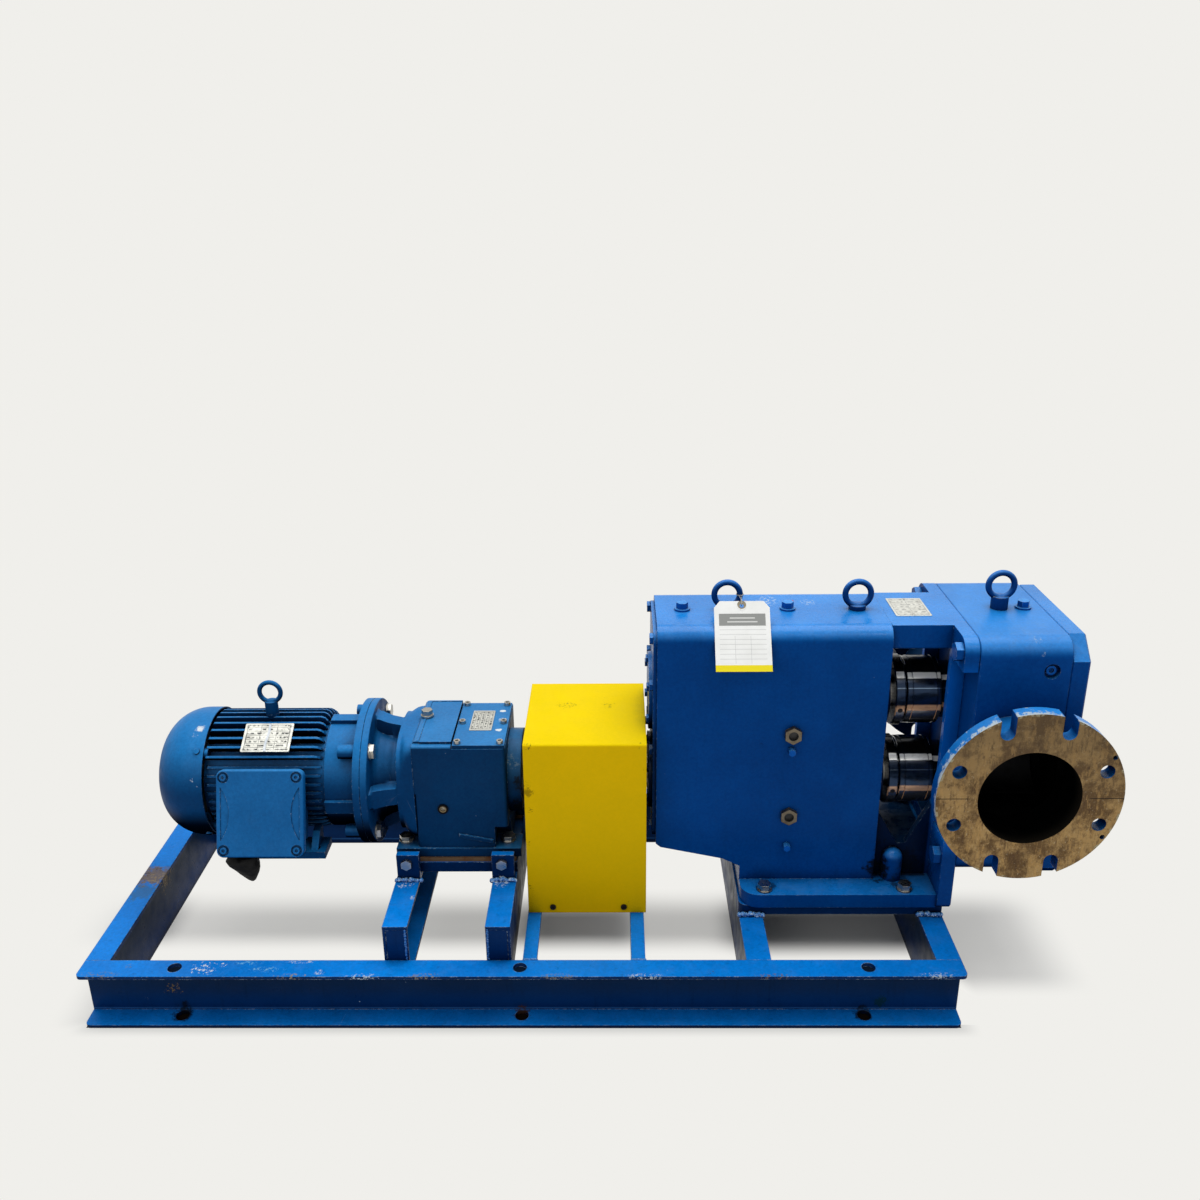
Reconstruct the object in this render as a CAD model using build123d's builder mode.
import os
from math import acos, cos, hypot, pi, radians, sin, sqrt, tan
from build123d import *

os.makedirs("parts", exist_ok=True)

# ------------------------------------------------------------------ driving dimensions (mm)
# Frame: +Z up, floor at z = 0, shaft line along x at y = 0, inlet/outlet flanges at -y and +y.
skid_l, skid_d = 1414.0, 576.0            # over the flange tips
ch_h, ch_b, ch_web, ch_fl = 101.6, 40.2, 4.7, 7.5   # rolled channel: height, flange, thicknesses
anchor_x, anchor_in, anchor_r = 554.7, 22.0, 11.0   # anchor holes: +-x, in from tip, radius
support_top = 165.6                       # top of the raised reducer supports
base_t, pedestal_t = 19.0, 19.0

shaft_z, centre_d = 312.0, 152.0          # drive shaft height and rotor centre distance
reducer_h = 120.0                         # reducer shaft height above its feet
reducer_x0, reducer_l, reducer_w = -185.0, 156.0, 172.0
adapter_l, flange_r, flange_t = 83.0, 125.0, 12.0
frame_l, frame_r, fin_r, fin_n = 203.0, 92.0, 108.0, 40
shield_l, cowl_l, cowl_r = 54.0, 91.0, 111.0
cowl_c, cowl_t = 70.0, 2.5

guard_x0, guard_x1, guard_y0, guard_y1, guard_top = 4.0, 205.0, -124.0, 112.0, 425.0
guard_t = 3.0

casing_x0, casing_l, casing_w = 222.0, 374.0, 180.0
casing_top, casing_wall = 610.0, 8.0
bracket_l, bracket_flange, bracket_w = 97.0, 24.0, 150.0
head_l, head_w, head_drop = 142.0, 290.0, 120.0
head_back, cover_t = 16.0, 28.0
foot_t, foot_w = 25.2, 274.0

port_x, port_bore, port_od, port_pcd = 784.0, 157.0, 285.0, 240.0
port_face, port_t, port_hole = 236.0, 25.0, 22.5
lobes, rotor_gap, bore_gap = 3, 0.35, 1.0
gear_m, gear_face = 4.0, 45.0
shaft_r, motor_shaft_r, out_shaft_r, counter_r, drive_end_r = 30.0, 15.0, 19.0, 11.0, 24.0
stage_d, m1, m2 = 60.0, 2.0, 2.5          # reducer centre distance and both modules
pinion_1, pinion_2 = 14, 14

# ------------------------------------------------------------------ derived positions
sx, sy = skid_l / 2, skid_d / 2
web_y, web_x = sy - ch_b, sx - ch_b
upper_z, mid_z = shaft_z + centre_d, shaft_z + centre_d / 2
port_z = mid_z + 2.0
reducer_x1, rw = reducer_x0 + reducer_l, reducer_w / 2
reducer_z0, reducer_top = shaft_z - reducer_h, shaft_z + 90.0
adapter_x0 = reducer_x0 - adapter_l
shield_x1 = adapter_x0 - flange_t
frame_x1 = shield_x1 - shield_l
frame_x0 = frame_x1 - frame_l
cowl_x0 = frame_x0 - cowl_l
wheel_1 = round(2 * stage_d / m1) - pinion_1
wheel_2 = round(2 * stage_d / m2) - pinion_2
counter_z = shaft_z - stage_d
casing_x1, cw = casing_x0 + casing_l, casing_w / 2
flange_x0 = casing_x1 + bracket_l
head_x0 = flange_x0 + bracket_flange
head_x1, hw = head_x0 + head_l, head_w / 2
head_z0 = shaft_z - head_drop
cover_x1 = head_x1 + cover_t
pump_z0 = ch_h + pedestal_t
foot_top = pump_z0 + foot_t
foot_x0, foot_x1 = casing_x0 + 144.0, flange_x0
rotor_rp = centre_d / 2
rotor_tip = rotor_rp * (1 + 1 / lobes)
chamber_r = rotor_tip + bore_gap
chamber_x0 = head_x0 + head_back
gear_n = round(centre_d / gear_m)

LO = (Align.CENTER, Align.CENTER, Align.MIN)
ADD, CUT = Mode.ADD, Mode.SUBTRACT
PX, NX, PY, NY, PZ, NZ = (1, 0, 0), (-1, 0, 0), (0, 1, 0), (0, -1, 0), (0, 0, 1), (0, 0, -1)


# ------------------------------------------------------------------ helpers
def block(x0, x1, y0, y1, z0, z1, mode=ADD):
    with Locations(((x0 + x1) / 2, (y0 + y1) / 2, (z0 + z1) / 2)):
        Box(x1 - x0, y1 - y0, z1 - z0, mode=mode)


def rod(at, way, r, length, mode=ADD):
    with Locations(Plane(at, z_dir=way)):
        Cylinder(r, length, align=LO, mode=mode)


def ring(at, way, r0, r1, length):
    with BuildSketch(Plane(at, z_dir=way)) as s:
        Circle(r1)
        Circle(r0, mode=CUT)
    extrude(s.sketch, amount=length)


def hexa(at, way, flats, length, mode=ADD):
    with BuildSketch(Plane(at, z_dir=way)) as s:
        RegularPolygon(flats / 2, 6, major_radius=False)
    extrude(s.sketch, amount=length, mode=mode)


def bolt(at, way, r, length, head=None, washer=0.0):
    """Hexagon bolt: head outside the face at `at`, shank running back into it."""
    head = head or 1.3 * r
    if washer:
        rod(at, way, 2.1 * r, washer)
    p = tuple(a + washer * w for a, w in zip(at, way))
    hexa(p, way, 3.4 * r, head)
    rod(at, tuple(-w for w in way), r, length)


def cap_screw(at, way, r, length):
    """Socket head screw with a hexagon socket."""
    rod(at, way, 1.6 * r, 1.7 * r)
    rod(at, tuple(-w for w in way), r, length)
    p = tuple(a + 1.7 * r * w for a, w in zip(at, way))
    hexa(p, tuple(-w for w in way), 1.6 * r, 0.9 * r, mode=CUT)


def plug(at, way, flats, height, collar):
    rod(at, way, collar, 3.0)
    p = tuple(a + 3.0 * w for a, w in zip(at, way))
    hexa(p, way, flats, height)


def outline(points, plane, length, mode=ADD):
    with BuildSketch(plane) as s:
        with BuildLine():
            Polyline(*points, close=True)
        make_face()
    extrude(s.sketch, amount=length, mode=mode)


def c_section(out):
    """Channel section, web at 0, flanges running toward `out` (+1 or -1), base at 0."""
    w, f, b, h = ch_web * out, ch_fl, ch_b * out, ch_h
    return [(0, 0), (b, 0), (b, f * 0.75), (w, f), (w, h - f), (b, h - f * 0.75), (b, h), (0, h)]


def gear(m, n, phase, thin=0.3, add=1.0, steps=3):
    """Involute spur gear along x at the current location, one tooth centred on `phase`."""
    rp, pa = m * n / 2, radians(20)
    rb, ra, rf = rp * cos(pa), rp + add * m, rp - 1.25 * m
    half = (pi * m / 2 - thin) / (2 * rp) + tan(pa) - pa
    r0, pts = max(rb, rf), []
    flank = []
    for i in range(steps + 1):
        r = r0 + (ra - r0) * i / steps
        a = acos(min(1.0, rb / r))
        flank.append((r, half - tan(a) + a))
    low = [(rf, flank[0][1])] if rf < rb else []
    side = low + flank
    for k in range(n):
        c = phase + 2 * pi * k / n
        for r, a in side:
            pts.append((r * cos(c - a), r * sin(c - a)))
        for r, a in reversed(side):
            pts.append((r * cos(c + a), r * sin(c + a)))
    return pts


def yz(x, z):
    """Sketch plane facing +x with local x along +y and local y along +z."""
    return Plane((x, 0, z), x_dir=(0, 1, 0), z_dir=PX)


def rotor_points(phase, per=24):
    """Cycloidal rotor outline drawn in by the running gap, one lobe centred on `phase`."""
    a, pts = rotor_rp / (2 * lobes), []
    for k in range(lobes):
        s = phase - pi / (2 * lobes) + 2 * pi * k / lobes
        for i in range(per):
            t = pi / lobes * i / per
            pts.append((s + 0, (rotor_rp + a) * cos(t) - a * cos((rotor_rp + a) / a * t),
                        (rotor_rp + a) * sin(t) - a * sin((rotor_rp + a) / a * t)))
        for i in range(per):
            t = pi / lobes * i / per
            pts.append((s + pi / lobes,
                        (rotor_rp - a) * cos(t) + a * cos((rotor_rp - a) / a * t),
                        (rotor_rp - a) * sin(t) - a * sin((rotor_rp - a) / a * t)))
    raw = [(x * cos(s) - y * sin(s), x * sin(s) + y * cos(s)) for s, x, y in pts]
    n, out = len(raw), []
    for i in range(0, n, 3):
        (xa, ya), (x, y), (xb, yb) = raw[i - 1], raw[i], raw[(i + 1) % n]
        d = hypot(xb - xa, yb - ya)
        out.append((x - rotor_gap * (yb - ya) / d, y + rotor_gap * (xb - xa) / d))
    return out


def eyebolt(at, ring_r, tube, rise, collar, shank, hole):
    """Lifting eye in the x-z plane: ring centre `rise` above the seat at `at`."""
    x, y, z = at
    with Locations(Plane((x, y, z + rise), z_dir=NY)):
        Torus(ring_r, tube)
    rod(at, PZ, collar, max(rise - ring_r + 0.5 * tube, 4.0))
    if shank:
        rod(at, NZ, hole, shank)


# ------------------------------------------------------------------ skid frame
def rail(sign):
    """Long member running the whole length, flanges outward."""
    with BuildSketch(Plane((-sx, sign * web_y, 0), x_dir=(0, 1, 0), z_dir=PX)) as s:
        with BuildLine():
            Polyline(*c_section(sign), close=True)
        make_face()
    extrude(s.sketch, amount=skid_l)
    for x in (-anchor_x, 0, anchor_x):
        rod((x, sign * (sy - anchor_in), -1), PZ, anchor_r, ch_h + 2, mode=CUT)


def end_member(sign):
    """End member, flanges outward, butted between the webs of the long members."""
    with BuildSketch(Plane((sign * web_x, web_y, 0), x_dir=(1, 0, 0), z_dir=NY)) as s:
        with BuildLine():
            Polyline(*c_section(sign), close=True)
        make_face()
    extrude(s.sketch, amount=2 * web_y)


with BuildPart() as skid_front_rail:
    rail(-1)
    fillet(skid_front_rail.edges().filter_by(Axis.Z).group_by(Axis.Y)[0], 9)
with BuildPart() as skid_rear_rail:
    rail(1)
    fillet(skid_rear_rail.edges().filter_by(Axis.Z).group_by(Axis.Y)[-1], 9)
with BuildPart() as skid_left_member:
    end_member(-1)
with BuildPart() as skid_right_member:
    end_member(1)

sup_x0, sup_x1 = reducer_x0 - 35.0, reducer_x1 + 14.0
with BuildPart() as reducer_supports:
    for x, way in ((sup_x0, 1), (sup_x1, -1)):
        with BuildSketch(Plane((x, web_y, support_top - ch_h), x_dir=(1, 0, 0), z_dir=NY)) as s:
            with BuildLine():
                Polyline(*c_section(way), close=True)
            make_face()
        extrude(s.sketch, amount=2 * web_y)

bar_x = (guard_x0 - 1.0, guard_x1 - 27.0)
with BuildPart() as guard_supports:
    for x in bar_x:
        block(x, x + 23, -web_y, web_y, ch_h - 6, ch_h)
        block(x, x + 6, -web_y, web_y, ch_h - 50, ch_h - 6)
    for y0, y1 in ((guard_y0 + guard_t, 1), (guard_y1 - guard_t, -1)):
        ya, yb = sorted((y0, y0 + y1 * 20))
        block(guard_x0 + guard_t + 1, guard_x1 - guard_t - 1, ya, yb, ch_h, ch_h + 4)
        ya, yb = sorted((y0, y0 + y1 * 4))
        block(guard_x0 + guard_t + 1, guard_x1 - guard_t - 1, ya, yb, ch_h + 4, ch_h + 20)

cross_x = foot_x0 - 3.0
with BuildPart() as pump_cross_channel:
    with BuildSketch(Plane((cross_x, web_y, 0), x_dir=(1, 0, 0), z_dir=NY)) as s:
        with BuildLine():
            Polyline(*c_section(1), close=True)
        make_face()
    extrude(s.sketch, amount=2 * web_y)

with BuildPart() as reducer_base_plate:
    block(sup_x0, sup_x1, -rw - 10, rw + 10, support_top, support_top + base_t)

rf_x0, rf_x1, rf_y, rf_t = sup_x0 - 2, sup_x1 + 7, rw + 4, 16.0
rb_x = (sup_x0 + 11.0, sup_x1 - 17.0)
rb_y = rw - 23.0
with BuildPart() as reducer_shims:
    for s in (-1, 1):
        ya, yb = sorted((s * (rw + 8), s * (rw - 44)))
        block(sup_x0 + 2, sup_x1 - 2, ya, yb, support_top + base_t, reducer_z0)

clip_y, clip_t, clip_h = rw + 21.5, 12.5, 48.5
clip_x = (sup_x0 + 3.0, sup_x1 - 41.0)
with BuildPart() as jacking_clips:
    for x in clip_x:
        for s in (-1, 1):
            ya, yb = sorted((s * clip_y, s * (clip_y + clip_t)))
            block(x, x + 38, ya, yb, support_top, support_top + clip_h)
            rod((x + 17, 0, reducer_z0 + 6), (0, s, 0), 5.2, clip_y + clip_t + 1, mode=CUT)
with BuildPart() as jacking_screws:
    for x in clip_x:
        for s in (-1, 1):
            reach = clip_y + clip_t - rf_y
            bolt((x + 17, s * (clip_y + clip_t), reducer_z0 + 6), (0, s, 0), 5.0, reach, head=7)

with BuildPart() as pump_pedestal_plate:
    block(cross_x, sx, -foot_w / 2 + 7, foot_w / 2 - 7, ch_h, pump_z0)
    fillet(pump_pedestal_plate.edges().filter_by(Axis.Z).group_by(Axis.X)[0], 14)

with BuildPart() as coupling_guard:
    block(guard_x0, guard_x1, guard_y0, guard_y1, ch_h, guard_top)
    block(guard_x0 + guard_t, guard_x1 - guard_t, guard_y0 + guard_t, guard_y1 - guard_t,
          ch_h - 1, guard_top - guard_t, mode=CUT)
    fillet(coupling_guard.edges().filter_by(Axis.X).group_by(Axis.Z)[-1], 4)
    for x in (guard_x0, guard_x1 - guard_t):
        block(x - 1, x + guard_t + 1, -55, 55, ch_h - 1, shaft_z, mode=CUT)
        rod((x - 1, 0, shaft_z), PX, 55, guard_t + 2, mode=CUT)
    for x in (guard_x0 + 42, guard_x1 - 38):
        rod((x, guard_y0 - 1, ch_h + 12), PY, 3.6, guard_y1 - guard_y0 + 2, mode=CUT)
with BuildPart() as guard_screws:
    for x in (guard_x0 + 42, guard_x1 - 38):
        for y, s in ((guard_y0, -1), (guard_y1, 1)):
            rod((x, y, ch_h + 12), (0, s, 0), 5.0, 2.6)
            rod((x, y, ch_h + 12), (0, -s, 0), 3.5, guard_t)
            hexa((x, y + 2.6 * s, ch_h + 12), (0, -s, 0), 5.0, 1.8, mode=CUT)

# ------------------------------------------------------------------ motor
foot_z = shaft_z - 111.0
with BuildPart() as motor_frame:
    rod((frame_x0, 0, shaft_z), PX, frame_r, frame_l)
    rod((frame_x0 + 10, 0, shaft_z), PX, frame_r - 10, frame_l, mode=CUT)
    for k in range(fin_n):
        a = 2 * pi * (k + 0.5) / fin_n
        low = 2.52 < a < 5.42
        top = frame_r + 5.0 if low else fin_r
        mid = (frame_x0 + frame_l / 2, 0, shaft_z)
        with BuildSketch(Plane(mid, x_dir=PX, z_dir=(0, -sin(a), cos(a)))) as s:
            with BuildLine():
                h0, h1, e = frame_r - 2.0, top, frame_l / 2 - 3
                h = h1 - h0
                Polyline((-e, h0), (-e, h1 - 5), (-e + 4, h1), (e - 13, h1), (e - 7, h1 - 0.14 * h),
                         (e - 3, h1 - 0.4 * h), (e - 1, h1 - 0.7 * h), (e, h0), close=True)
            make_face()
        extrude(s.sketch, amount=2.0, both=True)
    for s in (-1, 1):
        ya, yb = sorted((s * 62, s * 109))
        block(frame_x0 + 47, frame_x1 - 6, ya, yb, foot_z, foot_z + 13)
        for x in (frame_x0 + 56, frame_x1 - 31):
            tri = [(s * 66, foot_z + 12), (s * 104, foot_z + 12), (s * 80, shaft_z - 74),
                   (s * 56, shaft_z - 70)]
            outline(tri, yz(x, 0), 12)
        for x in (frame_x0 + 62, frame_x1 - 23):
            rod((x, s * 95, foot_z - 1), PZ, 6, 15, mode=CUT)
    for k in range(4):
        a = radians(45 + 90 * k)
        r = cowl_r - cowl_t - 9.5
        rod((frame_x0 - 15, r * cos(a), shaft_z + r * sin(a)), PX, 9.5, 24)
    rod((frame_x0 - 16, 0, shaft_z), PX, motor_shaft_r + 16, 26, mode=CUT)
    rod((frame_x0 + 100.4, 0, shaft_z + fin_r - 4), PZ, 11, 8)
    rod((frame_x0 + 100.4, 0, shaft_z + fin_r - 20), PZ, 6.2, 30, mode=CUT)

eye_x = frame_x0 + 100.4
with BuildPart() as motor_eyebolt:
    eyebolt((eye_x, 0, shaft_z + fin_r + 4), 18.0, 4.0, 38.5, 11, 16, 6.0)
    rod((eye_x, 0, shaft_z + fin_r + 4), PZ, 6.5, 17)

with BuildPart() as stator_core:
    ring((frame_x0 + 40, 0, shaft_z), PX, 50.0, frame_r - 10, 150)
    ring((frame_x0 + 28, 0, shaft_z), PX, 56.0, 78.0, 174)

bolt_pcd_r = 107.5
flange_holes = [(bolt_pcd_r * cos(a), shaft_z + bolt_pcd_r * sin(a))
                for a in (pi / 4, 3 * pi / 4, 5 * pi / 4, 7 * pi / 4)]
with BuildPart() as drive_end_shield:
    rod((frame_x1, 0, shaft_z), PX, frame_r + 4, shield_l)
    rod((shield_x1, 0, shaft_z), PX, flange_r, flange_t)
    rod((frame_x1 - 1, 0, shaft_z), PX, frame_r - 8, shield_l - 12, mode=CUT)
    rod((frame_x1, 0, shaft_z), PX, motor_shaft_r + 22, shield_l)
    rod((frame_x1 - 1, 0, shaft_z), PX, motor_shaft_r + 16, shield_l + 8, mode=CUT)
    rod((frame_x1 - 1, 0, shaft_z), PX, motor_shaft_r + 5, shield_l + flange_t + 4, mode=CUT)
    for a in (0, radians(100), radians(-100)):
        with Locations(Plane((frame_x1, 0, shaft_z), x_dir=PX, z_dir=(0, -sin(a), cos(a)))):
            with Locations((0, 0, frame_r - 3)):
                Box(shield_l, 24, 13, align=(Align.MIN, Align.CENTER, Align.MIN))
    for y, z in flange_holes:
        rod((shield_x1 - 28, y, z), PX, 12, 29)
    for y, z in flange_holes:
        rod((shield_x1 - 14, y, z), PX, 7, 14 + flange_t + 1, mode=CUT)

with BuildPart() as cowl_inside:
    rod((cowl_x0 + cowl_t, 0, shaft_z), PX, cowl_r - cowl_t, cowl_l + 5)
    fillet(cowl_inside.edges().group_by(Axis.X)[0], cowl_c - cowl_t)
with BuildPart() as fan_cowl:
    rod((cowl_x0, 0, shaft_z), PX, cowl_r, cowl_l + 3)
    fillet(fan_cowl.edges().group_by(Axis.X)[0], cowl_c)
    add(cowl_inside.part, mode=CUT)
    for r, n in ((26, 6), (44, 8), (62, 12)):
        with BuildSketch(Plane((cowl_x0 - 1, 0, shaft_z), x_dir=PY, z_dir=PX)) as s:
            with PolarLocations(r, n):
                SlotOverall(15, 7, rotation=90)
        extrude(s.sketch, amount=13, mode=CUT)
    for k in range(4):
        a = radians(45 + 90 * k)
        y, z = (cowl_r - 1) * cos(a), shaft_z + (cowl_r - 1) * sin(a)
        rod((frame_x0 - 8, y, z), (0, cos(a), sin(a)), 5, 4)

box_x, box_w, box_h, box_tilt = frame_x0 + 110.0, 144.0, 144.0, radians(20)
lid_out, lid_down = (0, -cos(box_tilt), sin(box_tilt)), (0, -sin(box_tilt), -cos(box_tilt))


def on_lid(across, up_by, out_by=0.0):
    """Point on the tilted seat of the terminal box lid: across, up and out of it."""
    return (box_x + across, -138.7 - up_by * lid_down[1] + out_by * lid_out[1],
            shaft_z - 2.1 - up_by * lid_down[2] + out_by * lid_out[2])


def lid_plane(out_by):
    return Plane(on_lid(0, 0, out_by), x_dir=PX, z_dir=lid_out)


stub = on_lid(-34, -73, -26)
with BuildPart() as terminal_box:
    with BuildSketch(lid_plane(0)) as s:
        RectangleRounded(box_w - 22, box_h - 26, 8)
    extrude(s.sketch, amount=-52)
    with BuildSketch(lid_plane(0)) as s:
        RectangleRounded(box_w - 34, box_h - 38, 6)
    extrude(s.sketch, amount=-16, mode=CUT)
    rod((frame_x0 - 5, 0, shaft_z), PX, frame_r + 5.05, frame_l + 10, mode=CUT)
    rod(stub, tuple(-v for v in lid_down), 11.5, 16)
with BuildPart() as terminal_box_lid:
    with BuildSketch(lid_plane(0)) as s:
        RectangleRounded(box_w, box_h, 12)
    extrude(s.sketch, amount=12)
    fillet(terminal_box_lid.edges().group_by(lambda e: round(e.center().Y * lid_out[1]
           + e.center().Z * lid_out[2], 1))[-1], 3)
    with BuildSketch(lid_plane(12)) as s:
        for i in (-1, 1):
            with BuildLine():
                ThreePointArc((i * 65, 44), (i * 51, 0), (i * 65, -44))
                Line((i * 65, -44), (i * 65, 44))
            make_face()
    extrude(s.sketch, amount=-1.6, mode=CUT)
    for i in (-1, 1):
        for j in (-1, 1):
            rod(on_lid(i * 60, j * 60, 9), lid_out, 9, 4, mode=CUT)
            rod(on_lid(i * 60, j * 60, 9), lid_out, 5.5, 5)
            hexa(on_lid(i * 60, j * 60, 12), lid_out, 5.0, 3, mode=CUT)
with BuildPart() as cable_stub:
    down_stub = Plane(stub, z_dir=(0.2, lid_down[1], lid_down[2])).offset(3.2)
    for d, r0, r1, h in ((0, 14, 20, 14), (14, 20, 17, 14), (28, 17, 6, 26)):
        with Locations(down_stub.offset(d)):
            Cone(r0, r1, h, align=LO)

with BuildPart() as motor_nameplate:
    a = 2 * pi * 6.5 / fin_n
    n = (0, -cos(a), sin(a))
    at = (box_x - 4, n[1] * fin_r, shaft_z + n[2] * fin_r)
    with BuildSketch(Plane(at, x_dir=PX, z_dir=n)) as s:
        RectangleRounded(82, 55, 2)
    extrude(s.sketch, amount=1.6)
    for i in (-1, 1):
        for j in (-1, 1):
            t = (0, sin(a), cos(a))
            p = (at[0] + i * 36, at[1] + j * 22 * t[1] + 1.6 * n[1], at[2] + j * 22 * t[2] + 1.6 * n[2])
            rod(p, n, 2.0, 1.2)

# ------------------------------------------------------------------ motor-to-reducer adapter
with BuildPart() as input_adapter:
    rod((adapter_x0, 0, shaft_z), PX, flange_r, flange_t)
    with Locations(Plane((adapter_x0 + flange_t, 0, shaft_z), z_dir=PX)):
        Cone(88, 70, 34, align=LO)
    rod((adapter_x0 + 46, 0, shaft_z), PX, 70, 12)
    with BuildSketch(yz(reducer_x0 - 25, shaft_z)) as s:
        RectangleRounded(reducer_w - 6, 2 * 84, 46)
    extrude(s.sketch, amount=25)
    block(reducer_x0 - 16, reducer_x0, -rw + 16, rw - 16, shaft_z, shaft_z + 86)
    for a in (0, pi / 2, pi, 3 * pi / 2):
        with BuildSketch(Plane((0, 0, shaft_z), x_dir=PX, z_dir=(0, -sin(a), cos(a)))) as s:
            with BuildLine():
                x0, x1 = adapter_x0 + flange_t - 1, reducer_x0 - 24
                Polyline((x0, 60), (x0, 112), (x0 + 8, 105), (x0 + 20, 98), (x0 + 34, 94),
                         (x1, 92), (x1 + 8, 84), (x1 + 8, 60), close=True)
            make_face()
        extrude(s.sketch, amount=8, both=True)
    rod((adapter_x0 - 1, 0, shaft_z), PX, 52, adapter_l + 2, mode=CUT)
    for y, z in flange_holes:
        rod((adapter_x0 - 1, y, z), PX, 7, 60, mode=CUT)
with BuildPart() as flange_bolts:
    for y, z in flange_holes:
        bolt((adapter_x0 + flange_t, y, z), PX, 6.8, 2 * flange_t + 12, head=7, washer=1.5)

# ------------------------------------------------------------------ reducer
cav_x0, cav_x1 = reducer_x0 + 12.0, reducer_x1 - 12.0
web_a, web_b = reducer_x0 + 57.0, reducer_x0 + 73.0
boss_x1 = reducer_x1 + 23.0
with BuildPart() as reducer_housing:
    with BuildSketch(Plane.XY.offset(reducer_z0)) as s:
        with Locations(((reducer_x0 + reducer_x1) / 2, 0)):
            RectangleRounded(reducer_l, reducer_w, 6)
    extrude(s.sketch, amount=reducer_top - reducer_z0 - 5)
    block(reducer_x0, reducer_x0 + 66, -rw, rw, shaft_z, reducer_top)
    fillet(reducer_housing.edges().filter_by(Axis.X).group_by(Axis.Z)[-1], 5)
    hump = [(reducer_x0, shaft_z + 40), (reducer_x0, reducer_top - 0.5), (reducer_x0 + 3, reducer_top + 3),
            (reducer_x0 + 9, reducer_top + 5), (reducer_x0 + 66, reducer_top + 5),
            (reducer_x0 + 66, shaft_z + 40)]
    outline(hump, Plane((0, rw - 4, 0), x_dir=PX, z_dir=NY), reducer_w - 16)
    fillet(reducer_housing.edges().filter_by(Axis.X).group_by(Axis.Z)[-1], 3.5)
    rod((reducer_x1, 0, shaft_z), PX, 72, 23)
    for s in (-1, 1):
        ya, yb = sorted((s * rf_y, s * (rf_y - 46)))
        block(rf_x0, rf_x1, ya, yb, reducer_z0, reducer_z0 + rf_t)
        rib = [(reducer_x0 + 72, reducer_z0 + 44), (reducer_x1 - 26, reducer_z0 + 32),
               (reducer_x1 - 26, reducer_z0 + 26), (reducer_x0 + 72, reducer_z0 + 38)]
        ya, yb = sorted((s * (rw - 1), s * (rw + 4)))
        outline(rib, Plane((0, yb, 0), x_dir=PX, z_dir=NY), yb - ya)
        for x in rb_x:
            rod((x, s * rb_y, reducer_z0 - 1), PZ, 6.2, rf_t + 2, mode=CUT)
    block(cav_x0, cav_x1, -rw + 10, rw - 10, reducer_z0 + 10, reducer_top + 9, mode=CUT)
    block(cav_x0, reducer_x0 + 66, -rw + 10, rw - 10, reducer_top - 4, reducer_top + 5 - 1)
    block(web_a, web_b, -rw + 10, rw - 10, shaft_z - 36, reducer_top - 5)
    for s in (-1, 1):
        ya, yb = sorted((s * (rw - 10), s * (rw - 54)))
        block(rb_x[1] - 30, cav_x1, ya, yb, reducer_z0 + 10, reducer_z0 + 66)
        ya, yb = sorted((s * (rw + 1), s * (rw - 44)))
        block(rb_x[1] - 20, reducer_x1 + 1, ya, yb, reducer_z0 + rf_t, reducer_z0 + 56, mode=CUT)
    rod((reducer_x0 - 20, 0, shaft_z), PX, 45, 33, mode=CUT)
    rod((web_a - 1, 0, shaft_z), PX, out_shaft_r + 13, 18, mode=CUT)
    rod((cav_x1 - 1, 0, shaft_z), PX, out_shaft_r + 26, 14, mode=CUT)
    rod((reducer_x1 - 3, 0, shaft_z), PX, out_shaft_r + 26, 20, mode=CUT)
    rod((cav_x1 - 1, 0, shaft_z), PX, out_shaft_r + 2, 60, mode=CUT)
    for x, w in ((reducer_x0 + 4, 10), (cav_x1 - 1, 9)):
        rod((x, 0, counter_z), PX, counter_r + 10, w, mode=CUT)
    rod((reducer_x0 + 47, rw + 5, reducer_z0 + 92), NY, 6, 20, mode=CUT)
    rod((reducer_x0 + 47, -rw - 5, reducer_z0 + 92), PY, 6, 20, mode=CUT)

cover_x = (reducer_x0 + 68.0, reducer_x1 - 1.0)
cover_z = reducer_top - 5
cover_screws = [(x, y) for x in (cover_x[0] + 8, cover_x[1] - 8) for y in (-rw + 10, -2, rw - 18)]
with BuildPart() as reducer_top_cover:
    block(cover_x[0], cover_x[1], -rw + 2, rw - 10, cover_z, cover_z + 6)
    block(cav_x1 - 52, cav_x1 - 1, -rw + 12, rw - 12, cover_z - 4, cover_z)
    for x, y in cover_screws:
        rod((x, y, cover_z - 1), PZ, 3.5, 8, mode=CUT)
with BuildPart() as reducer_fittings:
    for x, y in cover_screws:
        cap_screw((x, y, cover_z + 6), PZ, 3.4, 6)
    plug((reducer_x0 + 12, 18, reducer_top + 5), PZ, 17, 9, 11)
    for s in (-1, 1):
        rod((reducer_x0 + 47, s * rw, reducer_z0 + 92), (0, s, 0), 9, 2.5)
        rod((reducer_x0 + 47, s * rw, reducer_z0 + 92), (0, -s, 0), 5.8, 8)
        hexa((reducer_x0 + 47, s * (rw + 2.5), reducer_z0 + 92), (0, -s, 0), 8, 5, mode=CUT)
with BuildPart() as reducer_nameplate:
    with BuildSketch(Plane(((cover_x[0] + cover_x[1]) / 2 - 2, 6, cover_z + 6))) as s:
        RectangleRounded(38, 74, 1.5)
    extrude(s.sketch, amount=1.2)
with BuildPart() as reducer_foot_bolts:
    for x in rb_x:
        for s in (-1, 1):
            bolt((x, s * rb_y, reducer_z0 + rf_t), PZ, 6.0, rf_t, head=8, washer=3)

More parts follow.
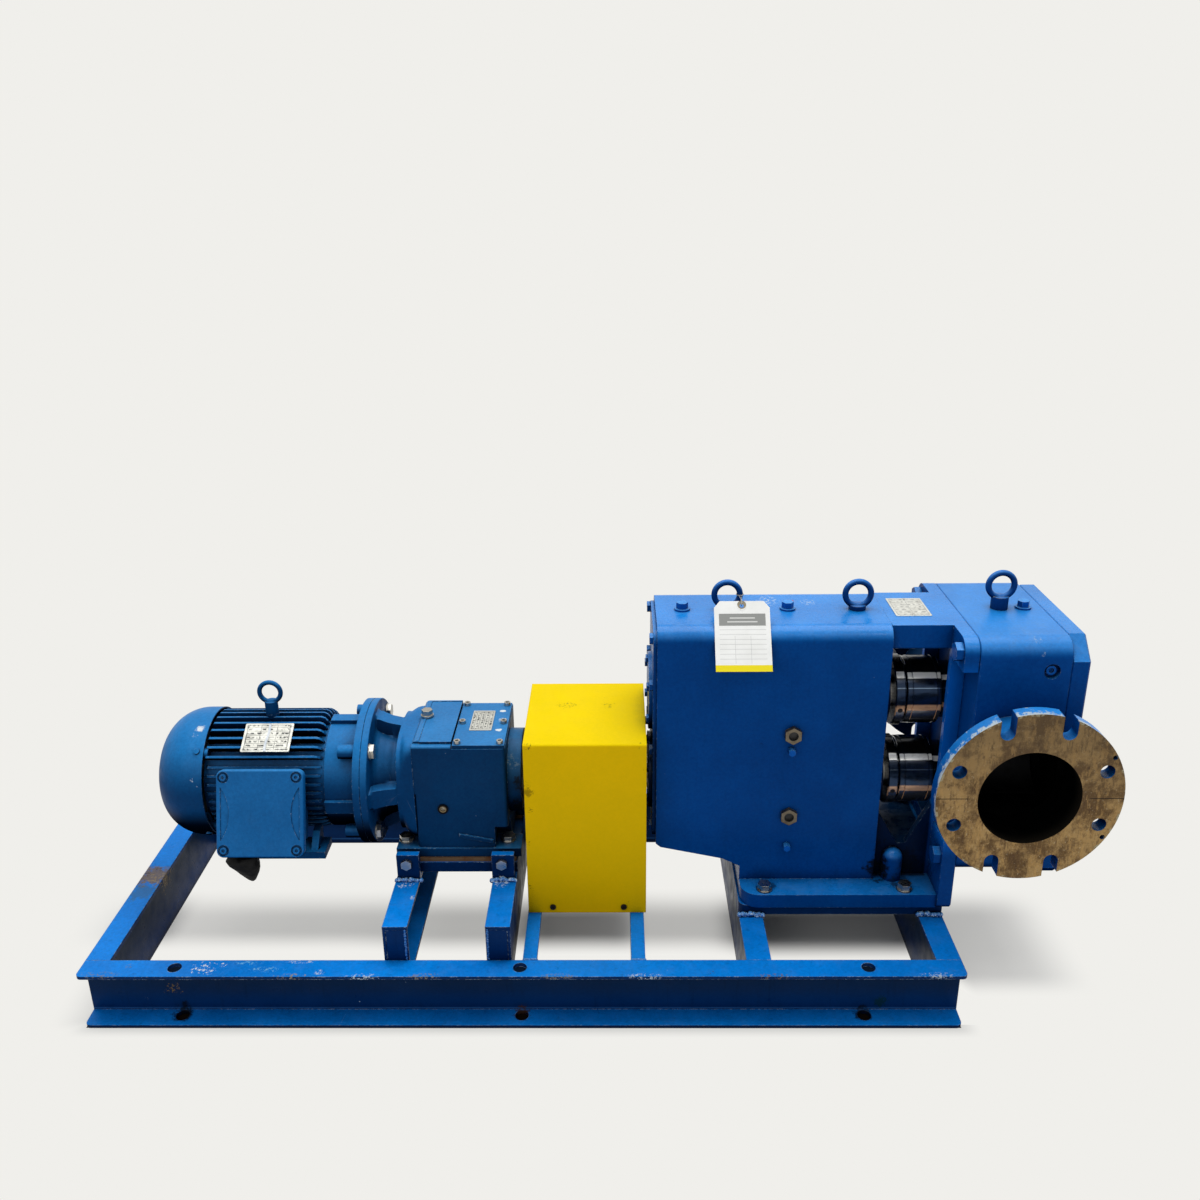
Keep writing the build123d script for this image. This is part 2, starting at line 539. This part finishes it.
with BuildPart() as drive_bearings:
    r = motor_shaft_r
    ring((frame_x0, 0, shaft_z), PX, r + 0.05, r + 16, 10)
    ring((frame_x1 + 31, 0, shaft_z), PX, r + 0.05, r + 16, shield_l - 25)
    ring((web_a, 0, shaft_z), PX, out_shaft_r + 0.05, out_shaft_r + 13, web_b - web_a)
    ring((cav_x1, 0, shaft_z), PX, out_shaft_r + 0.05, out_shaft_r + 26, 18)
    ring((reducer_x0 + 4, 0, counter_z), PX, counter_r + 0.05, counter_r + 10, 8)
    ring((cav_x1, 0, counter_z), PX, counter_r + 0.05, counter_r + 10, 8)

g1_x, g2_x = reducer_x0 + 20.0, reducer_x0 + 80.0
down, up = -pi / 2, pi / 2
with BuildPart() as motor_rotor:
    rod((cowl_x0 + 22, 0, shaft_z), PX, motor_shaft_r, g1_x - cowl_x0 - 22)
    rod((frame_x0 + 40, 0, shaft_z), PX, 49.3, 150)
    for s in (0, 150):
        ring((frame_x0 + 32 + s, 0, shaft_z), PX, 30, 46, 8)
    outline(gear(m1, pinion_1, down, add=0.8), yz(g1_x, shaft_z), 22)
with BuildPart() as cooling_fan:
    ring((cowl_x0 + 24, 0, shaft_z), PX, motor_shaft_r, motor_shaft_r + 12, 30)
    for k in range(7):
        a = 2 * pi * k / 7
        with BuildSketch(Plane((cowl_x0 + 24, 0, shaft_z), x_dir=PX, z_dir=(0, -sin(a), cos(a)))) as s:
            with BuildLine():
                Polyline((0, 20), (10, 76), (28, 88), (30, 20), close=True)
            make_face()
        extrude(s.sketch, amount=1.5, both=True)
    rod((cowl_x0 + 50, 0, shaft_z), PX, 80, 4)
    rod((cowl_x0 + 49, 0, shaft_z), PX, motor_shaft_r, 6, mode=CUT)

with BuildPart() as countershaft:
    rod((reducer_x0 + 4, 0, counter_z), PX, counter_r, cav_x1 + 8 - reducer_x0 - 4)
    outline(gear(m1, wheel_1, up + pi / wheel_1, add=0.8), yz(g1_x, counter_z), 20)
    outline(gear(m2, pinion_2, up + pi / pinion_2, add=0.8), yz(g2_x, counter_z), 36)
with BuildPart() as output_shaft:
    rod((web_a, 0, shaft_z), PX, out_shaft_r, guard_x0 + 70 - web_a)
    outline(gear(m2, wheel_2, down, add=0.8), yz(g2_x, shaft_z), 34)

hub_r, hub_l, hub_gap = 45.0, 58.0, 22.0
hub_1 = guard_x0 + 14.0
hub_2 = hub_1 + hub_l + hub_gap
pin_r, pin_c = 7.5, 32.0
with BuildPart() as coupling_hubs:
    for x, r, way in ((hub_1, out_shaft_r, 1), (hub_2, drive_end_r, -1)):
        ring((x, 0, shaft_z), PX, r, hub_r, hub_l)
        face = x + hub_l if way > 0 else x
        for k in range(3):
            a = 2 * pi * k / 3 + (0 if way > 0 else pi / 3)
            rod((face - 2 * way, pin_c * cos(a), shaft_z + pin_c * sin(a)), (way, 0, 0), pin_r, hub_gap)
with BuildPart() as coupling_spider:
    ring((hub_1 + hub_l + 1.5, 0, shaft_z), PX, out_shaft_r + 1, hub_r - 1, hub_gap - 3)
    for k in range(6):
        a = pi * k / 3
        rod((hub_1 + hub_l, pin_c * cos(a), shaft_z + pin_c * sin(a)), PX, pin_r + 0.1, hub_gap,
            mode=CUT)

# ------------------------------------------------------------------ pump gear casing
cx0, cx1 = casing_x0, casing_x1
lug_x = cx0 + 117.6
z_low = shaft_z - 95.0
with BuildPart() as gear_casing:
    side = [(cx0, z_low), (cx0 + 8, z_low - 7), (cx0 + 114, z_low - 30), (foot_x0, z_low - 45),
            (foot_x0, foot_top), (cx1, foot_top), (cx1, casing_top), (cx0, casing_top)]
    outline(side, Plane((0, cw, 0), x_dir=PX, z_dir=NY), casing_w)
    fillet(gear_casing.edges().filter_by(Axis.X).group_by(Axis.Z)[-1], 25)
    with BuildSketch(Plane.XY.offset(pump_z0)) as s:
        with Locations(((foot_x0 + foot_x1) / 2, 0)):
            Rectangle(foot_x1 - foot_x0, foot_w)
        fillet(s.vertices().group_by(Axis.X)[0], 30)
    extrude(s.sketch, amount=foot_t)
    block(cx0, cx1 - 40, -cw + casing_wall, cw - casing_wall, z_low + 12, casing_top - casing_wall,
          mode=CUT)
    for z in (shaft_z, upper_z):
        rod((cx1 - 41, 0, z), PX, 55, 42, mode=CUT)
    for x in (foot_x0 + 40, foot_x0 + 277):
        for s in (-1, 1):
            rod((x, s * (foot_w / 2 - 18), pump_z0 - 1), PZ, 6.2, foot_t + 2, mode=CUT)
            rod((x, s * (foot_w / 2 - 18), foot_top - 1), PZ, 14, 4, mode=CUT)
    for s in (-1, 1):
        for z in (shaft_z + 113, shaft_z - 39.4):
            rod((cx0 + 223, s * (cw + 1), z), (0, -s, 0), 8, 20, mode=CUT)
        for z in (shaft_z + 83.7, shaft_z - 98.2):
            rod((cx0 + 222, s * (cw + 1), z), (0, -s, 0), 4.2, 20, mode=CUT)

ec_z0, ec_z1, ec_t, cap_t = z_low + 4, casing_top - 8, 6.0, 6.0
ec_bolts = [(s * (cw - 18), z) for s in (-1, 1) for z in (ec_z1 - 14, ec_z1 - 96, mid_z, ec_z0 + 22)]
cap_bolts = [(58 * cos(pi / 6 + pi / 3 * k), z + 58 * sin(pi / 6 + pi / 3 * k))
             for z in (shaft_z, upper_z) for k in range(6)]
with BuildPart() as end_cover:
    with BuildSketch(yz(cx0 - ec_t, (ec_z0 + ec_z1) / 2)) as s:
        RectangleRounded(casing_w - 14, ec_z1 - ec_z0, 22)
    extrude(s.sketch, amount=ec_t)
    block(cx0, cx0 + 14, -cw + casing_wall + 0.5, cw - casing_wall - 0.5, z_low + 13,
          casing_top - casing_wall - 1)
    for z in (shaft_z, upper_z):
        rod((cx0 - ec_t, 0, z), PX, 66, 42)
        rod((cx0 - ec_t - cap_t, 0, z), PX, 66, cap_t)
        rod((cx0 + 4, 0, z), PX, 55, 40, mode=CUT)
    rod((cx0 - 21, 0, shaft_z), PX, drive_end_r + 1.5, 40, mode=CUT)
    for y, z in ec_bolts:
        rod((cx0 - ec_t - 1, y, z), PX, 5.2, 14, mode=CUT)
    for y, z in cap_bolts:
        rod((cx0 - ec_t - cap_t - 1, y, z), PX, 4.2, 12, mode=CUT)

lug_y, lug_z = hw - 20, (casing_top - 24, head_z0 + 26)
screw_p = [(s * (hw - 18), z) for s in (-1, 1)
         for z in (head_z0 + 22, mid_z - 110, mid_z - 37, mid_z + 37, mid_z + 110, casing_top - 40)]
screw_p += [(0, casing_top - 20)]
with BuildPart() as pump_cover_bolts:
    for y, z in ec_bolts:
        bolt((cx0 - ec_t, y, z), NX, 5, 10, head=6)
    for y, z in cap_bolts:
        bolt((cx0 - ec_t - cap_t, y, z), NX, 4, 10, head=4)
    for s in (-1, 1):
        for z in lug_z:
            bolt((flange_x0, s * lug_y, z), NX, 8, bracket_flange, head=12)
    for y, z in screw_p:
        rod((head_x1, y, z), PX, 5.0, cover_t - 11)
        rod((cover_x1 - 11, y, z), PX, 8.5, 9)
        hexa((cover_x1 - 2, y, z), NX, 8, 5, mode=CUT)

with BuildPart() as pump_bearings:
    for z in (shaft_z, upper_z):
        for x in (cx0 + 6, cx1 - 38):
            ring((x, 0, z), PX, 44, 55, 26)
            ring((x + 2, 0, z), PX, 38, 44, 22)
            ring((x, 0, z), PX, shaft_r + 0.05, 38, 26)

tg_x = cx0 + 60.0
with BuildPart() as timing_gear_lower:
    outline(gear(gear_m, gear_n, up), yz(tg_x, shaft_z), gear_face)
    rod((tg_x - 8, 0, shaft_z), PX, 48, gear_face + 16)
    rod((tg_x - 9, 0, shaft_z), PX, shaft_r + 4, gear_face + 18, mode=CUT)
with BuildPart() as timing_gear_upper:
    outline(gear(gear_m, gear_n, down + pi / gear_n), yz(tg_x, upper_z), gear_face)
    rod((tg_x - 8, 0, upper_z), PX, 48, gear_face + 16)
    rod((tg_x - 9, 0, upper_z), PX, shaft_r + 4, gear_face + 18, mode=CUT)

rotor_x0, rotor_x1 = chamber_x0 + 1.0, head_x1 - 1.0
col_x0, col_x1 = cx1 + 33.0, cx1 + 49.0


def pump_shaft(z, x0, end_r):
    rod((x0, 0, z), PX, end_r, cx0 + 4 - x0 if x0 < cx0 else 1)
    rod((cx0 + 4, 0, z), PX, shaft_r, rotor_x0 - cx0 - 4)
    rod((tg_x - 8, 0, z), PX, shaft_r + 4, gear_face + 16)
    rod((tg_x + gear_face + 8, 0, z), PX, shaft_r + 12, 14)
    rod((rotor_x0, 0, z), PX, 24, rotor_x1 - rotor_x0 - 24)


with BuildPart() as drive_shaft:
    pump_shaft(shaft_z, hub_2 + 2, drive_end_r)
with BuildPart() as driven_shaft:
    pump_shaft(upper_z, cx0 + 4, shaft_r)


def lobe_rotor(z, phase):
    with BuildSketch(yz(rotor_x0, z)) as s:
        with BuildLine():
            Spline(*rotor_points(phase), periodic=True)
        make_face()
    extrude(s.sketch, amount=rotor_x1 - rotor_x0)
    rod((rotor_x0 - 1, 0, z), PX, 24, rotor_x1 - rotor_x0 - 23, mode=CUT)
    rod((rotor_x1 - 10, 0, z), PX, 30, 11, mode=CUT)
    hexa((rotor_x1 - 10, 0, z), PX, 36, 9)


with BuildPart() as lower_rotor:
    lobe_rotor(shaft_z, up)
with BuildPart() as upper_rotor:
    lobe_rotor(upper_z, down + pi / lobes)


def seal_collar(z):
    ring((col_x0, 0, z), PX, shaft_r, 57, col_x1 - col_x0)
    for k in range(4):
        a = pi / 4 + pi / 2 * k
        rod((col_x0 + 8, 57.5 * cos(a), z + 57.5 * sin(a)), (0, -cos(a), -sin(a)), 4.5, 9, mode=CUT)


with BuildPart() as lower_seal_collar:
    seal_collar(shaft_z)
with BuildPart() as upper_seal_collar:
    seal_collar(upper_z)

with BuildPart() as seal_glands:
    for z in (shaft_z, upper_z):
        ring((col_x1 + 1.0, 0, z), PX, shaft_r + 1.5, 51, 9)
        ring((col_x1 + 10.0, 0, z), PX, shaft_r + 1.5, 46, head_x0 - col_x1 - 28)
        ring((head_x0 - 18, 0, z), PX, shaft_r + 1.5, 48.5, 18)
        for k in range(8):
            a = pi / 8 + pi / 4 * k
            rod((head_x0 - 10, 47 * cos(a), z + 47 * sin(a)), (0, cos(a), sin(a)), 4.5, 5)

# ------------------------------------------------------------------ bracket between casing and head
bw = bracket_w / 2
win_z0, win_z1 = head_z0 + 60, casing_top - 52
with BuildPart() as bearing_bracket:
    block(cx1, flange_x0 + 4, -bw, bw, casing_top - 40, casing_top)
    block(cx1, flange_x0 + 4, -bw, bw, foot_top, foot_top + 62)
    with BuildSketch(yz(flange_x0, (casing_top + pump_z0) / 2)) as s:
        Rectangle(head_w - 4, casing_top - pump_z0)
        fillet(s.vertices().group_by(Axis.Y)[-1], 26)
        fillet(s.vertices().group_by(Axis.Y)[0], 12)
    extrude(s.sketch, amount=bracket_flange)
    chamfer(bearing_bracket.faces().sort_by(Axis.X)[-1].edges(), 1.5)
    for s in (-1, 1):
        ya, yb = sorted((s * (bw + 4), s * (hw + 1)))
        block(flange_x0 - 1, head_x0 + 1, ya, yb, win_z0, win_z1, mode=CUT)
        gus = [(cx1, foot_top + 60), (cx1, foot_top + 130), (cx1 + 40, foot_top + 60)]
        ya, yb = sorted((s * (bw - 12), s * bw))
        outline(gus, Plane((0, yb, 0), x_dir=PX, z_dir=NY), 12)
        gus = [(flange_x0, foot_top + 60), (flange_x0, foot_top + 150), (flange_x0 - 44, foot_top + 60)]
        outline(gus, Plane((0, yb, 0), x_dir=PX, z_dir=NY), 12)
        rod((cx1 + 32, s * (bw + 8), foot_top), PZ, 17, 40)
        with Locations((cx1 + 32, s * (bw + 8), foot_top + 40)):
            Sphere(17)
        for z in lug_z:
            rod((flange_x0 - 1, s * lug_y, z), PX, 8.2, bracket_flange + 2, mode=CUT)
    block(cx1 - 1, cx1, -bw, bw, foot_top, casing_top, mode=CUT)
    block(flange_x0 - 1, head_x0 + 1, -bw + 8, bw - 8, win_z0 - 20, casing_top - 40, mode=CUT)
    ring((cx1, 0, shaft_z), PX, 36, 58, 12)
    ring((cx1, 0, upper_z), PX, 36, 58, 12)

# ------------------------------------------------------------------ pump head
with BuildPart() as rotor_casing:
    with BuildSketch(yz(head_x0, (casing_top + head_z0) / 2)) as s:
        RectangleRounded(head_w, casing_top - head_z0, 30)
    extrude(s.sketch, amount=head_l)
    for face in (rotor_casing.faces().sort_by(Axis.X)[0], rotor_casing.faces().sort_by(Axis.X)[-1]):
        chamfer(face.edges(), 1.5)
    for s in (-1, 1):
        rod((port_x, s * (hw - 2), port_z), (0, s, 0), port_bore / 2 + 16, port_face - hw)
        rod((port_x, s * port_face, port_z), (0, -s, 0), port_od / 2, port_t)
    for s in (-1, 1):
        block(head_x1, head_x1 + 40, *sorted((s * (hw - 9), s * (hw + 0.4))), port_z - 120,
              port_z + 120, mode=CUT)
    for z in (shaft_z, upper_z):
        rod((chamber_x0, 0, z), PX, chamber_r, head_x1 - chamber_x0 + 1, mode=CUT)
        rod((head_x0 - 1, 0, z), PX, shaft_r + 1.5, head_back + 2, mode=CUT)
    for s in (-1, 1):
        rod((port_x, s * (port_face + 1), port_z), (0, -s, 0), port_bore / 2, port_face - hw - 7,
            mode=CUT)
        block(chamber_x0 + 2, head_x1 - 4, *sorted((s * 50, s * (hw + 9))), port_z - 70, port_z + 70,
              mode=CUT)
        for k in range(8):
            a = pi / 8 + pi / 4 * k
            x, z = port_x + port_pcd / 2 * cos(a), port_z + port_pcd / 2 * sin(a)
            rod((x, s * (port_face + 1), z), (0, -s, 0), port_hole / 2, port_t + 2, mode=CUT)
            if abs(sin(a)) > 0.9:
                out = 1 if sin(a) > 0 else -1
                ya, yb = sorted((s * (port_face + 1), s * (port_face - port_t - 1)))
                z0, z1 = sorted((z, z + out * 40))
                block(x - port_hole / 2, x + port_hole / 2, ya, yb, z0, z1, mode=CUT)
        for x, z in ((port_x + 119, port_z + 70), (port_x + 119, port_z - 68)):
            rod((x, s * (port_face + 1), z), (0, -s, 0), 4, 13, mode=CUT)
        rod((head_x1 - 30, s * (hw + 1), casing_top - 50), (0, -s, 0), 12.5, 13, mode=CUT)
with BuildPart() as front_cover:
    c = 34.0
    zt, zb = casing_top, head_z0 - 4
    pts = [(-hw, zb + 16), (-hw + 16, zb), (hw - 16, zb), (hw, zb + 16), (hw, zt - c), (hw - c, zt),
           (-hw + c, zt), (-hw, zt - c)]
    outline(pts, yz(head_x1, 0), cover_t)
    chamfer(front_cover.faces().sort_by(Axis.X)[-1].edges(), 3)
    chamfer(front_cover.faces().sort_by(Axis.X)[0].edges(), 1.5)
    block(head_x1, head_x1 + 20, -40, 40, zb - 10, zb + 4)
    for z in (shaft_z, upper_z):
        rod((cover_x1, 0, z), PX, 62, 12)
        rod((cover_x1 + 12, 0, z), PX, 30, 6)
    for y, z in screw_p:
        rod((head_x1 - 1, y, z), PX, 5.2, cover_t + 2, mode=CUT)
        rod((cover_x1 - 11, y, z), PX, 10, 12, mode=CUT)

with BuildPart() as pump_foot_bolts:
    for x in (foot_x0 + 40, foot_x0 + 277):
        for s in (-1, 1):
            bolt((x, s * (foot_w / 2 - 18), foot_top - 1), PZ, 6.0, foot_t - 1, head=10, washer=2.5)

with BuildPart() as sight_glasses:
    for s in (-1, 1):
        for z in (shaft_z + 113, shaft_z - 39.4):
            hexa((cx0 + 223, s * cw, z), (0, s, 0), 26, 9)
            rod((cx0 + 223, s * cw, z), (0, -s, 0), 7.8, 12)
            rod((cx0 + 223, s * (cw + 9), z), (0, -s, 0), 7.5, 5, mode=CUT)
with BuildPart() as casing_plugs:
    for s in (-1, 1):
        for z in (shaft_z + 83.7, shaft_z - 98.2):
            rod((cx0 + 222, s * cw, z), (0, -s, 0), 4, 12)
            hexa((cx0 + 222, s * cw, z), (0, s, 0), 11, 12)
    for x in (cx0 + 44, cx0 + 218, head_x0 + 110):
        plug((x, 0, casing_top), PZ, 17, 10, 13)
    for s in (-1, 1):
        at = (head_x1 - 30, s * (hw - 9), casing_top - 50)
        rod(at, (0, -s, 0), 12.2, 3)
        rod(at, (0, s, 0), 8, 4)
        hexa((at[0], s * (hw - 5), at[2]), (0, -s, 0), 8, 4, mode=CUT)
with BuildPart() as pump_eyebolts:
    for x, rise in ((lug_x, 26.3), (cx0 + 332.8, 26.3), (head_x0 + 70.4, 40.0)):
        eyebolt((x, 0, casing_top), 21.0, 5.0, rise, 14, 0, 5)
with BuildPart() as pump_nameplate:
    with BuildSketch(Plane((cx1 + 44, 4, casing_top))) as s:
        RectangleRounded(58, 80, 2)
    extrude(s.sketch, amount=1.2)
    for y in (-31, 39):
        rod((cx1 + 44, y, casing_top + 1.2), PZ, 2.2, 1.2)

# ------------------------------------------------------------------ hanging card
lean, edge_r = radians(52), 25.0
tag_x, tag_up = lug_x + 17.9, 46.6
n_y, n_z, u_y, u_z = -sin(lean), cos(lean), cos(lean), sin(lean)


def on_card(up_by, out_by, dx=0.0):
    """Point on the leaning card: distance up from its hole and out of its back face."""
    cy = -cw + edge_r + n_y * (edge_r + 0.3) + u_y * tag_up
    cz = casing_top - edge_r + n_z * (edge_r + 0.3) + u_z * tag_up
    return (tag_x + dx, cy + up_by * u_y + out_by * n_y, cz + up_by * u_z + out_by * n_z)


with BuildPart() as service_tag:
    pts = [(-44.5, -3), (-35, 8), (35, 8), (44.5, -3), (44.5, -108), (-44.5, -108)]
    back = Plane(on_card(0, 0), x_dir=PX, z_dir=(0, n_y, n_z))
    outline(pts, back, 0.8)
    rod(on_card(0, -3), (0, n_y, n_z), 3.4, 8, mode=CUT)
    ring(on_card(0, 0.8), (0, n_y, n_z), 3.4, 7, 0.5)


def wire(points, r):
    for p, q in zip(points, points[1:]):
        d = tuple(b - a for a, b in zip(p, q))
        rod(p, d, r, sqrt(sum(v * v for v in d)))
    for p in points[1:-1]:
        with Locations(p):
            Sphere(r)


with BuildPart() as tag_wire:
    ex, ez = lug_x + 21.0, casing_top + 26.3
    with Locations((ex, 0, ez)):
        Torus(5.9, 0.8)
    wire([(ex + 1, -5.8, ez), on_card(1.9, -2.5), on_card(1.9, 2.6), on_card(9.6, 2.6),
          on_card(10.6, 0.5), (ex - 2, -5.5, ez)], 0.8)

PARTS = dict(
    skid_front_rail=skid_front_rail, skid_rear_rail=skid_rear_rail,
    skid_left_member=skid_left_member, skid_right_member=skid_right_member,
    reducer_supports=reducer_supports, guard_supports=guard_supports,
    pump_cross_channel=pump_cross_channel, reducer_base_plate=reducer_base_plate,
    reducer_shims=reducer_shims, jacking_clips=jacking_clips, jacking_screws=jacking_screws,
    pump_pedestal_plate=pump_pedestal_plate, coupling_guard=coupling_guard,
    guard_screws=guard_screws, motor_frame=motor_frame, drive_end_shield=drive_end_shield,
    fan_cowl=fan_cowl, terminal_box=terminal_box, terminal_box_lid=terminal_box_lid,
    cable_stub=cable_stub, motor_nameplate=motor_nameplate, motor_eyebolt=motor_eyebolt,
    stator_core=stator_core, input_adapter=input_adapter, flange_bolts=flange_bolts,
    reducer_housing=reducer_housing, reducer_top_cover=reducer_top_cover,
    reducer_fittings=reducer_fittings, reducer_nameplate=reducer_nameplate,
    reducer_foot_bolts=reducer_foot_bolts, drive_bearings=drive_bearings,
    gear_casing=gear_casing, end_cover=end_cover, pump_cover_bolts=pump_cover_bolts,
    pump_bearings=pump_bearings, bearing_bracket=bearing_bracket, seal_glands=seal_glands,
    rotor_casing=rotor_casing, front_cover=front_cover, pump_foot_bolts=pump_foot_bolts,
    sight_glasses=sight_glasses, casing_plugs=casing_plugs, pump_eyebolts=pump_eyebolts,
    pump_nameplate=pump_nameplate, output_shaft=output_shaft, coupling_hubs=coupling_hubs,
    coupling_spider=coupling_spider, drive_shaft=drive_shaft,
    timing_gear_lower=timing_gear_lower, lower_rotor=lower_rotor,
    lower_seal_collar=lower_seal_collar, driven_shaft=driven_shaft,
    timing_gear_upper=timing_gear_upper, upper_rotor=upper_rotor,
    upper_seal_collar=upper_seal_collar, countershaft=countershaft, motor_rotor=motor_rotor,
    cooling_fan=cooling_fan, service_tag=service_tag, tag_wire=tag_wire)
for label, made in PARTS.items():
    made.part.label = label
    export_step(made.part, f"parts/{label}.step")
